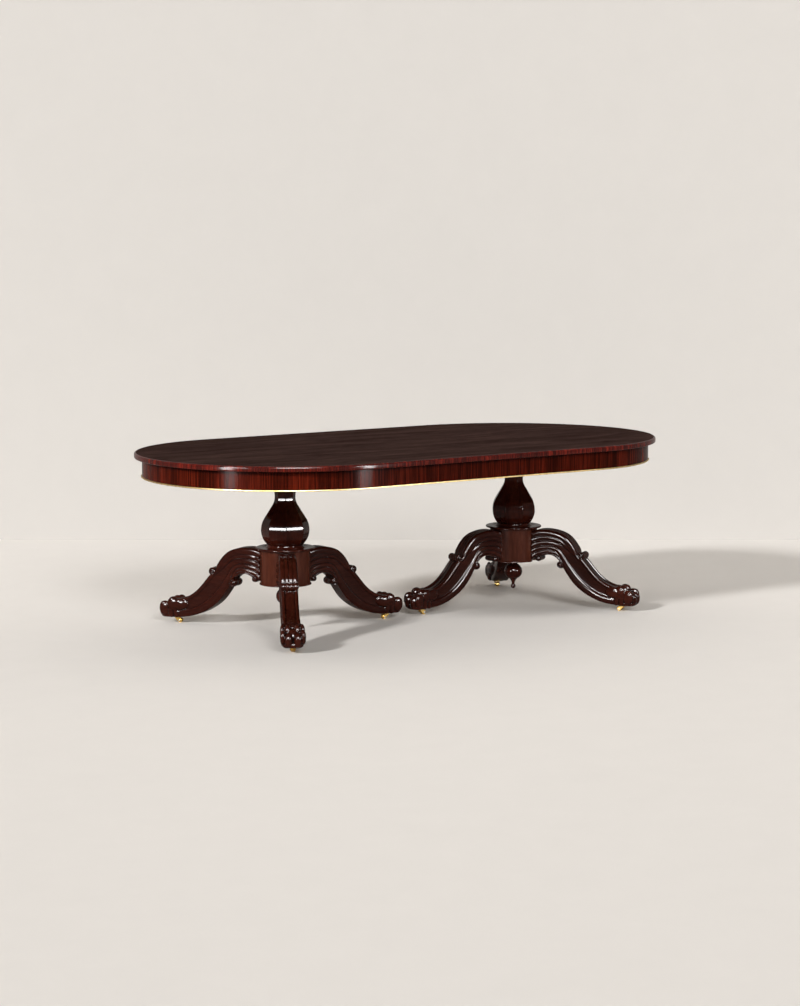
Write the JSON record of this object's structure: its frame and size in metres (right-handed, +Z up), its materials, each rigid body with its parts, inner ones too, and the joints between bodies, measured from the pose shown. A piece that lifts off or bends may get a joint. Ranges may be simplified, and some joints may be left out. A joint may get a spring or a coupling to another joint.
{
  "type": "dining table",
  "caption": "Long dining table with rounded ends on paired pedestals with vase columns, carved scroll legs and paw feet on casters; the halves of the top draw apart on runners to take a leaf.",
  "frame": {"origin": "on the floor under the middle of the closed table", "axes": "+X along the table towards the half that slides, +Y across the table, +Z up"},
  "size_m": [2.4396, 1.27, 0.75],
  "materials": {
    "mahogany_top": "polished",
    "mahogany_apron": "polished",
    "mahogany_carved": "polished",
    "mahogany_turned": "polished",
    "hardwood": "raw",
    "brass": "polished",
    "steel": "plated"
  },
  "bodies": {
    "left_half": {"alignment_pins": "brass", "latch_pivots": "steel", "left_apron": "mahogany_apron", "left_apron_bead": "brass", "left_back_leg": "mahogany_carved", "left_bearers": "hardwood", "left_caster_sockets": "brass", "left_column": "mahogany_turned", "left_column_base": "mahogany_turned", "left_drum": "mahogany_turned", "left_finial": "mahogany_turned", "left_front_leg": "mahogany_carved", "left_glue_blocks": "hardwood", "left_inner_leg": "mahogany_carved", "left_pedestal_plate": "hardwood", "left_plate_screws": "steel", "left_runners": "hardwood", "left_tie_rod": "steel", "left_tie_rod_nuts": "steel", "left_top": "mahogany_top"},
    "right_half": {"latch_keepers": "steel", "right_apron": "mahogany_apron", "right_apron_bead": "brass", "right_back_leg": "mahogany_carved", "right_bearers": "hardwood", "right_caster_sockets": "brass", "right_column": "mahogany_turned", "right_column_base": "mahogany_turned", "right_drum": "mahogany_turned", "right_finial": "mahogany_turned", "right_front_leg": "mahogany_carved", "right_glue_blocks": "hardwood", "right_inner_leg": "mahogany_carved", "right_pedestal_plate": "hardwood", "right_plate_screws": "steel", "right_runners": "hardwood", "right_tie_rod": "steel", "right_tie_rod_nuts": "steel", "right_top": "mahogany_top"},
    "left_inner_caster": {"left_inner_caster_fork": "brass", "left_inner_caster_axle": "steel"},
    "left_inner_wheel": {"left_inner_caster_wheel": "brass"},
    "left_front_caster": {"left_front_caster_fork": "brass", "left_front_caster_axle": "steel"},
    "left_front_wheel": {"left_front_caster_wheel": "brass"},
    "left_back_caster": {"left_back_caster_fork": "brass", "left_back_caster_axle": "steel"},
    "left_back_wheel": {"left_back_caster_wheel": "brass"},
    "right_inner_caster": {"right_inner_caster_fork": "brass", "right_inner_caster_axle": "steel"},
    "right_inner_wheel": {"right_inner_caster_wheel": "brass"},
    "right_front_caster": {"right_front_caster_fork": "brass", "right_front_caster_axle": "steel"},
    "right_front_wheel": {"right_front_caster_wheel": "brass"},
    "right_back_caster": {"right_back_caster_fork": "brass", "right_back_caster_axle": "steel"},
    "right_back_wheel": {"right_back_caster_wheel": "brass"},
    "front_latch": {"front_latch_hook": "steel"},
    "back_latch": {"back_latch_hook": "steel"}
  },
  "joints": [
    {"name": "extension_slide", "type": "slide", "parent": "left_half", "child": "right_half", "axis": [1, 0, 0], "range_m": [0, 0.56]},
    {"name": "left_inner_caster_swivel", "type": "hinge", "parent": "left_half", "child": "left_inner_caster", "pos_m": [-0.0915, 0, 0.0235], "axis": [0, 0, 1], "continuous": true},
    {"name": "left_inner_wheel_roll", "type": "hinge", "parent": "left_inner_caster", "child": "left_inner_wheel", "pos_m": [-0.1045, 0, 0.01], "axis": [0, 1, 0], "continuous": true},
    {"name": "left_front_caster_swivel", "type": "hinge", "parent": "left_half", "child": "left_front_caster", "pos_m": [-0.8595, -0.4434, 0.0235], "axis": [0, 0, 1], "continuous": true},
    {"name": "left_front_wheel_roll", "type": "hinge", "parent": "left_front_caster", "child": "left_front_wheel", "pos_m": [-0.853, -0.43215, 0.01], "axis": [0.866, -0.5, 0], "continuous": true},
    {"name": "left_back_caster_swivel", "type": "hinge", "parent": "left_half", "child": "left_back_caster", "pos_m": [-0.8595, 0.4434, 0.0235], "axis": [0, 0, 1], "continuous": true},
    {"name": "left_back_wheel_roll", "type": "hinge", "parent": "left_back_caster", "child": "left_back_wheel", "pos_m": [-0.853, 0.43215, 0.01], "axis": [-0.866, -0.5, 0], "continuous": true},
    {"name": "right_inner_caster_swivel", "type": "hinge", "parent": "right_half", "child": "right_inner_caster", "pos_m": [0.0915, 0, 0.0235], "axis": [0, 0, 1], "continuous": true},
    {"name": "right_inner_wheel_roll", "type": "hinge", "parent": "right_inner_caster", "child": "right_inner_wheel", "pos_m": [0.1045, 0, 0.01], "axis": [0, -1, 0], "continuous": true},
    {"name": "right_front_caster_swivel", "type": "hinge", "parent": "right_half", "child": "right_front_caster", "pos_m": [0.8595, -0.4434, 0.0235], "axis": [0, 0, 1], "continuous": true},
    {"name": "right_front_wheel_roll", "type": "hinge", "parent": "right_front_caster", "child": "right_front_wheel", "pos_m": [0.853, -0.43215, 0.01], "axis": [0.866, 0.5, 0], "continuous": true},
    {"name": "right_back_caster_swivel", "type": "hinge", "parent": "right_half", "child": "right_back_caster", "pos_m": [0.8595, 0.4434, 0.0235], "axis": [0, 0, 1], "continuous": true},
    {"name": "right_back_wheel_roll", "type": "hinge", "parent": "right_back_caster", "child": "right_back_wheel", "pos_m": [0.853, 0.43215, 0.01], "axis": [-0.866, 0.5, 0], "continuous": true},
    {"name": "front_latch_pivot", "type": "hinge", "parent": "left_half", "child": "front_latch", "pos_m": [-0.03, -0.4385, 0.7176], "axis": [0, 0, -1], "range_deg": [0, 90]},
    {"name": "back_latch_pivot", "type": "hinge", "parent": "left_half", "child": "back_latch", "pos_m": [-0.03, 0.4385, 0.7176], "axis": [0, 0, 1], "range_deg": [0, 90]}
  ]
}
